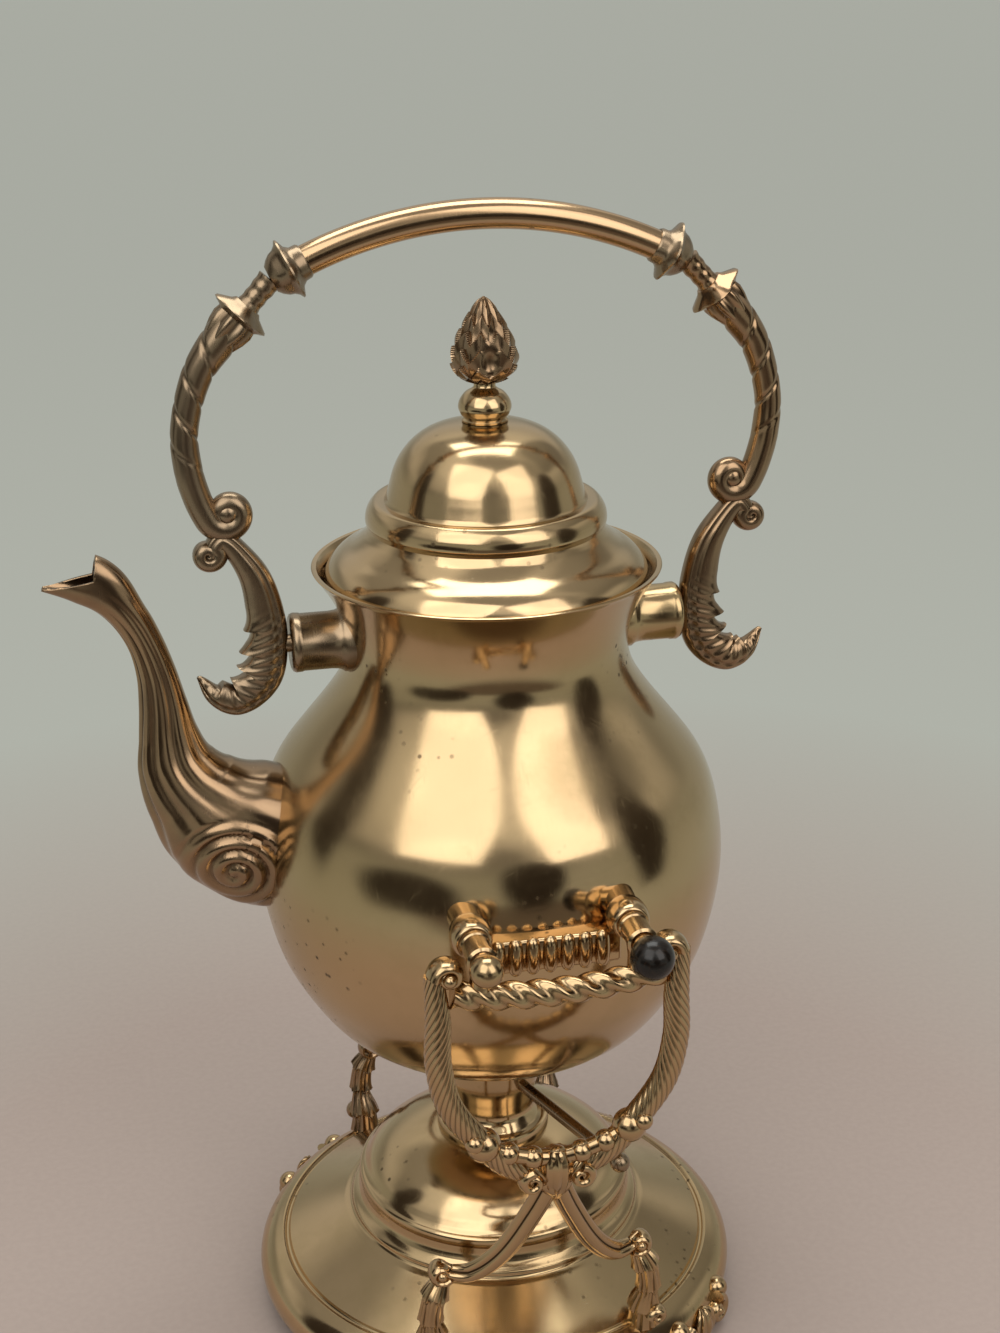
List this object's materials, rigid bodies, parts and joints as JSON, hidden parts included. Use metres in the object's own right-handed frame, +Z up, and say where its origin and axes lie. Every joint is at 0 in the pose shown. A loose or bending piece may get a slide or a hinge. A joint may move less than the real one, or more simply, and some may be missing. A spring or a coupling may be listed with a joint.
{
  "type": "tipping kettle on stand",
  "caption": "Brass kettle with a hinged domed lid, swan-neck spout and swinging bail handle, tipping forward on pins between scrolled brackets over a spirit burner.",
  "frame": {"origin": "on the kettle's axis at the level of the table", "axes": "+Z up, the spout points to -X, the pictured side faces -Y"},
  "size_m": [0.2131, 0.207, 0.3501],
  "materials": {
    "polished_brass": "polished, lightly tarnished",
    "cast_brass": "cast, polished on the high spots, dark in the recesses",
    "dark_bronze": "brown patina, rubbed bright on the edges",
    "grip_brass": "smooth, worn by hands",
    "ebonised_wood": "black, polished",
    "wick_cotton": "twisted cotton, charred at its tip"
  },
  "bodies": {
    "stand": {"base_shell": "polished_brass", "foot_spout_near": "cast_brass", "foot_rear_near": "cast_brass", "foot_rear_far": "cast_brass", "foot_spout_far": "cast_brass", "bracket_screws": "cast_brass", "near_bracket": "cast_brass", "far_bracket": "cast_brass", "near_pivot_pin": "cast_brass", "far_pivot_pin": "cast_brass", "burner_seat": "polished_brass"},
    "near_lock_pin": {"near_lock_rod": "cast_brass", "near_lock_knob": "ebonised_wood"},
    "far_lock_pin": {"far_lock_rod": "cast_brass", "far_lock_knob": "ebonised_wood"},
    "burner": {"burner_bowl": "polished_brass", "burner_cap": "polished_brass", "wick": "wick_cotton", "burner_handle": "dark_bronze"},
    "kettle": {"pot_body": "polished_brass", "spout": "cast_brass", "handle_boss_rear": "polished_brass", "handle_boss_spout": "dark_bronze", "near_lug": "cast_brass", "far_lug": "cast_brass", "pot_hinge": "cast_brass", "lid_hinge_pin": "cast_brass"},
    "handle": {"handle_grip": "grip_brass", "grip_ferrule_rear": "dark_bronze", "grip_ferrule_spout": "dark_bronze", "handle_arm_rear": "dark_bronze", "handle_arm_spout": "dark_bronze", "handle_pin_rear": "dark_bronze", "handle_pin_spout": "dark_bronze"},
    "lid": {"lid_shell": "polished_brass", "lid_bezel": "polished_brass", "finial_knob": "polished_brass", "finial_bud": "cast_brass", "finial_nut": "cast_brass", "lid_hinge": "cast_brass"}
  },
  "joints": [
    {"name": "kettle_tilt", "type": "hinge", "parent": "stand", "child": "kettle", "pos_m": [-0.022, 0, 0.165], "axis": [0, -1, 0], "range_deg": [0, 55]},
    {"name": "lid_hinge_turn", "type": "hinge", "parent": "kettle", "child": "lid", "pos_m": [0, 0.0542, 0.2494], "axis": [-1, 0, 0], "range_deg": [0, 95]},
    {"name": "handle_swing", "type": "hinge", "parent": "kettle", "child": "handle", "pos_m": [0, 0, 0.226], "axis": [1, 0, 0], "range_deg": [-75, 75]},
    {"name": "near_lock_pin_pull", "type": "slide", "parent": "stand", "child": "near_lock_pin", "axis": [0, -1, 0], "range_m": [0, 0.022]},
    {"name": "far_lock_pin_pull", "type": "slide", "parent": "stand", "child": "far_lock_pin", "axis": [0, 1, 0], "range_m": [0, 0.022]},
    {"name": "burner_lift", "type": "slide", "parent": "stand", "child": "burner", "axis": [0, 0, 1], "range_m": [0, 0.0045]}
  ]
}
